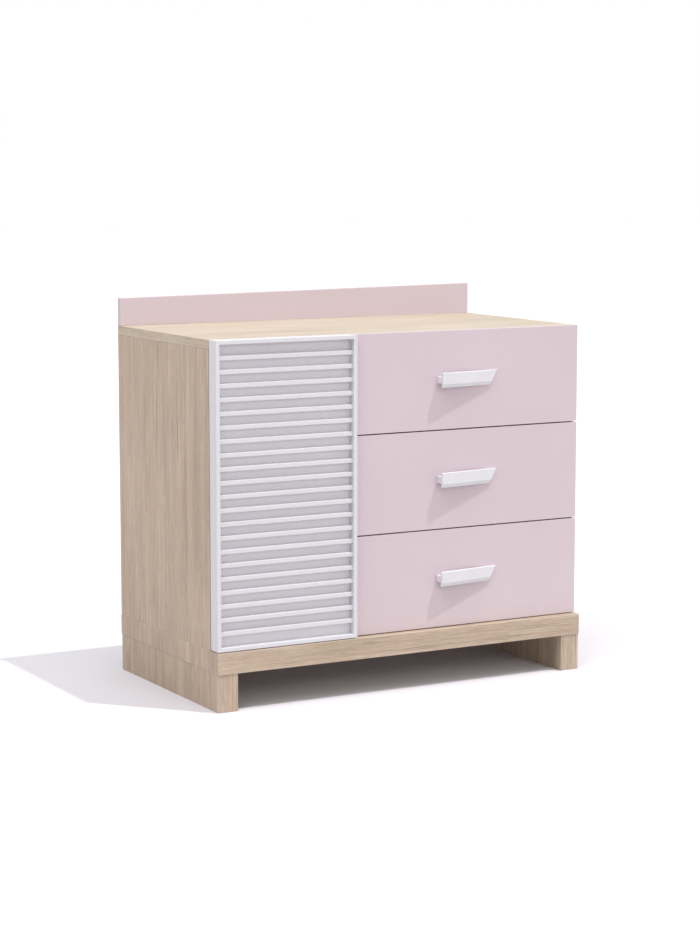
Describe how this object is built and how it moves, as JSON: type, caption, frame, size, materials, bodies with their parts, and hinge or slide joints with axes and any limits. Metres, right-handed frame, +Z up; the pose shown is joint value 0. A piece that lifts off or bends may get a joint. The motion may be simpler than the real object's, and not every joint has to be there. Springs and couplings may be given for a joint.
{
  "type": "changing table",
  "caption": "Nursery changing table: chest on slab legs with slatted door, pink drawers with slanted pulls, oak-effect top and pink back rail.",
  "frame": {"origin": "on the floor, in the middle of the whole object's width and depth", "axes": "+X to the right seen from the front, +Y to the back, +Z up"},
  "size_m": [0.982, 0.55, 0.9215],
  "materials": {
    "oak_effect_board": "matt printed oak decor on particle board",
    "pink_lacquer": "satin pale pink lacquer on fibreboard",
    "white_lacquer": "satin white lacquer on fibreboard",
    "white_melamine": "fine-grained white melamine on particle board",
    "white_thin_board": "white lacquered hardboard",
    "white_handle_metal": "satin white powder coat",
    "beech": "bare fluted beech",
    "zinc_casting": "bare zinc alloy casting",
    "zinc_plated_steel": "bright zinc plate"
  },
  "bodies": {
    "cabinet": {"back_panel": "white_thin_board", "back_rail": "pink_lacquer", "base_board": "oak_effect_board", "base_screws": "zinc_plated_steel", "bottom_panel": "white_melamine", "bracket_screws": "zinc_plated_steel", "cam_locks": "zinc_casting", "door_magnet": "zinc_casting", "dowels": "beech", "drawer_1_cabinet_runners": "zinc_plated_steel", "drawer_2_cabinet_runners": "zinc_plated_steel", "drawer_3_cabinet_runners": "zinc_plated_steel", "hinge_arms": "zinc_plated_steel", "left_leg": "oak_effect_board", "left_side": "oak_effect_board", "leg_screws": "zinc_plated_steel", "partition": "white_melamine", "rail_screws": "zinc_plated_steel", "right_leg": "oak_effect_board", "right_side": "oak_effect_board", "shelf": "white_melamine", "shelf_pins": "zinc_plated_steel", "system_screws": "zinc_plated_steel", "top_board": "oak_effect_board", "wall_brackets": "zinc_plated_steel"},
    "door": {"door_bottom_rail": "white_lacquer", "door_left_stile": "white_lacquer", "door_panel": "white_lacquer", "door_right_stile": "white_lacquer", "door_slats": "white_lacquer", "door_strike": "zinc_plated_steel", "door_top_rail": "white_lacquer", "hinge_cups": "zinc_plated_steel"},
    "drawer_1": {"drawer_1_back": "white_melamine", "drawer_1_bottom": "white_thin_board", "drawer_1_front": "pink_lacquer", "drawer_1_handle": "white_handle_metal", "drawer_1_handle_screws": "zinc_plated_steel", "drawer_1_left_side": "white_melamine", "drawer_1_right_side": "white_melamine", "drawer_1_runners": "zinc_plated_steel"},
    "drawer_2": {"drawer_2_back": "white_melamine", "drawer_2_bottom": "white_thin_board", "drawer_2_front": "pink_lacquer", "drawer_2_handle": "white_handle_metal", "drawer_2_handle_screws": "zinc_plated_steel", "drawer_2_left_side": "white_melamine", "drawer_2_right_side": "white_melamine", "drawer_2_runners": "zinc_plated_steel"},
    "drawer_3": {"drawer_3_back": "white_melamine", "drawer_3_bottom": "white_thin_board", "drawer_3_front": "pink_lacquer", "drawer_3_handle": "white_handle_metal", "drawer_3_handle_screws": "zinc_plated_steel", "drawer_3_left_side": "white_melamine", "drawer_3_right_side": "white_melamine", "drawer_3_runners": "zinc_plated_steel"},
    "runner_1": {"runner_1_middle_members": "zinc_plated_steel"},
    "runner_2": {"runner_2_middle_members": "zinc_plated_steel"},
    "runner_3": {"runner_3_middle_members": "zinc_plated_steel"}
  },
  "joints": [
    {"name": "door_hinge", "type": "hinge", "parent": "cabinet", "child": "door", "pos_m": [-0.49, -0.2275, 0.492], "axis": [0, 0, -1], "range_deg": [0, 110]},
    {"name": "drawer_1_slide", "type": "slide", "parent": "cabinet", "child": "drawer_1", "axis": [0, -1, 0], "range_m": [0, 0.45]},
    {"name": "runner_1_slide", "type": "slide", "parent": "cabinet", "child": "runner_1", "axis": [0, -1, 0], "range_m": [0, 0.225]},
    {"name": "drawer_2_slide", "type": "slide", "parent": "cabinet", "child": "drawer_2", "axis": [0, -1, 0], "range_m": [0, 0.45]},
    {"name": "runner_2_slide", "type": "slide", "parent": "cabinet", "child": "runner_2", "axis": [0, -1, 0], "range_m": [0, 0.225]},
    {"name": "drawer_3_slide", "type": "slide", "parent": "cabinet", "child": "drawer_3", "axis": [0, -1, 0], "range_m": [0, 0.45]},
    {"name": "runner_3_slide", "type": "slide", "parent": "cabinet", "child": "runner_3", "axis": [0, -1, 0], "range_m": [0, 0.225]}
  ],
  "couplings": [
    {"joint": "runner_1_slide", "follows": "drawer_1_slide", "ratio": 0.5},
    {"joint": "runner_2_slide", "follows": "drawer_2_slide", "ratio": 0.5},
    {"joint": "runner_3_slide", "follows": "drawer_3_slide", "ratio": 0.5}
  ]
}
